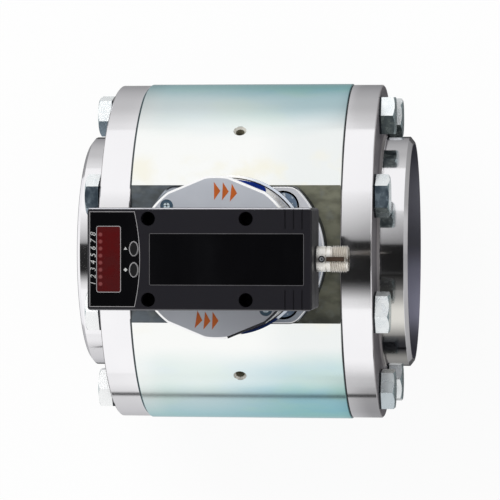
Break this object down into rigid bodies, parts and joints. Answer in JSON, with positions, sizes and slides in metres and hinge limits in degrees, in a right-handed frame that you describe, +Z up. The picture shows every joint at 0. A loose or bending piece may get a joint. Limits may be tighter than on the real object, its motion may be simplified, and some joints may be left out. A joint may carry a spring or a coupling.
{
  "type": "compressed air flow meter",
  "caption": "In-line thermal air flow meter: plated body between weld flanges, faceted sensor neck and black display housing with buttons and a round plug connector.",
  "frame": {"origin": "centre of the inlet weld end, on the pipe axis", "axes": "+X along the pipe with the flow, +Z up towards the sensor head, +Y to the left of the flow"},
  "size_m": [0.161, 0.167, 0.269],
  "materials": {
    "plated_body": "zinc plated over fine turning lines",
    "turned_steel": "bare, finely turned",
    "bolt_zinc": "bright zinc plated",
    "base_steel": "satin, machined",
    "screw_zinc": "blue zinc plated",
    "neck_steel": "satin, turned, with dark blue flats",
    "arrow_plate_gray": "fine matt, with a bright bevel",
    "probe_steel": "polished",
    "seal_rubber": "matt",
    "housing_plastic": "fine moulded texture",
    "film_black": "smooth film",
    "window_red": "clear dark red filter",
    "lamp_red": "clear lens",
    "display_block": "moulded block",
    "board_green": "coated laminate",
    "component_black": "moulded",
    "button_black": "soft moulded",
    "label_black": "smooth, plain",
    "connector_nickel": "nickel plated",
    "connector_plastic": "moulded",
    "contact_gold": "gold flashed"
  },
  "bodies": {
    "meter": {"measuring_body": "plated_body", "inlet_flange": "turned_steel", "outlet_flange": "turned_steel", "inlet_seal_ring": "seal_rubber", "outlet_seal_ring": "seal_rubber", "inlet_flange_bolts": "bolt_zinc", "outlet_flange_bolts": "bolt_zinc", "sensor_base_plate": "base_steel", "base_plate_screws": "screw_zinc", "base_plate_seal": "seal_rubber", "sensor_neck": "neck_steel", "neck_screws": "screw_zinc", "neck_seal": "seal_rubber", "arrow_plate": "arrow_plate_gray", "arrow_plate_screws": "screw_zinc", "probe_tube": "probe_steel", "heated_tip": "probe_steel", "reference_tip": "probe_steel", "probe_seal": "seal_rubber", "sensor_board": "board_green", "sensor_board_pillars": "connector_nickel", "housing_base": "housing_plastic", "housing_gasket": "seal_rubber", "housing_cover": "housing_plastic", "housing_screws": "screw_zinc", "front_film": "film_black", "display_window": "window_red", "indicator_leds": "lamp_red", "digit_display": "display_block", "display_board": "board_green", "board_header": "component_black", "main_board": "board_green", "main_board_parts": "component_black", "button_switches": "component_black", "label_plate": "label_black", "connector_shell": "connector_nickel", "connector_insert": "connector_plastic", "connector_pins": "contact_gold", "connector_nut": "connector_nickel", "connector_gasket": "seal_rubber", "connector_set_screw": "screw_zinc"},
    "mode_button": {"mode_button": "button_black"},
    "set_button": {"set_button": "button_black"}
  },
  "joints": [
    {"name": "mode_button_press", "type": "slide", "parent": "meter", "child": "mode_button", "axis": [0, 0, -1], "range_m": [0, 0.0004], "stiffness_N_per_m": 5000},
    {"name": "set_button_press", "type": "slide", "parent": "meter", "child": "set_button", "axis": [0, 0, -1], "range_m": [0, 0.0004], "stiffness_N_per_m": 5000}
  ]
}
